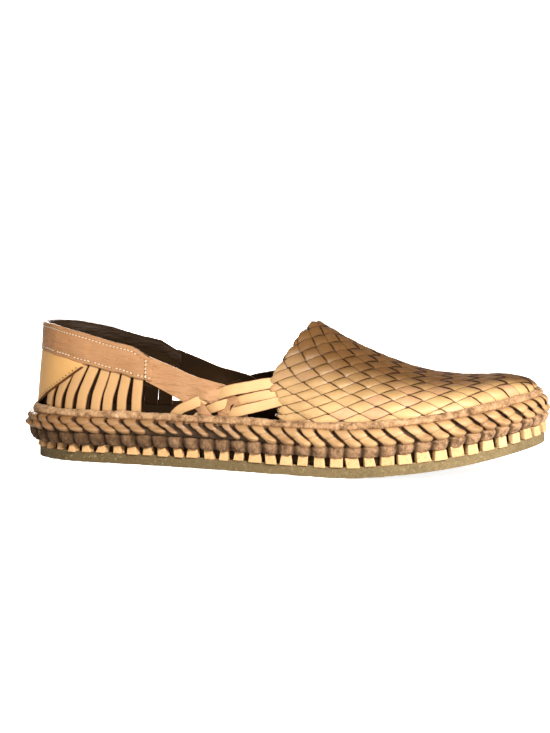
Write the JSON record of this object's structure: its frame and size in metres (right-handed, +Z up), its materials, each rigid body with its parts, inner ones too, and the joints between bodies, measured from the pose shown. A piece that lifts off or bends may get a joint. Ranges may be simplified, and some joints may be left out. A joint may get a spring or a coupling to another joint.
{
  "type": "woven leather flat shoe",
  "caption": "Closed slip-on shoe with a woven leather strip upper, open-work sides, folded heel collar, laced edge and flat crepe sole.",
  "frame": {"origin": "middle of the footprint, on the floor", "axes": "+X from the heel to the toe, +Y to the inner (medial) side, +Z up"},
  "size_m": [0.2976, 0.108, 0.0796],
  "materials": {
    "crepe": "rough natural crepe",
    "strap_ends": "raw cut straps over a dark recess",
    "footbed": "worn smooth leather",
    "suede": "brown suede, furry",
    "lacing": "natural tan, waxed",
    "strips": "natural tan, low sheen",
    "band": "natural tan, creased, low sheen",
    "counter": "natural tan, low sheen"
  },
  "bodies": {
    "root": {"outsole": "crepe", "midsole": "strap_ends", "insole": "footbed", "rand": "suede", "braid": "lacing", "upper": "strips", "collar_band": "band", "heel_counter": "counter"}
  },
  "joints": []
}
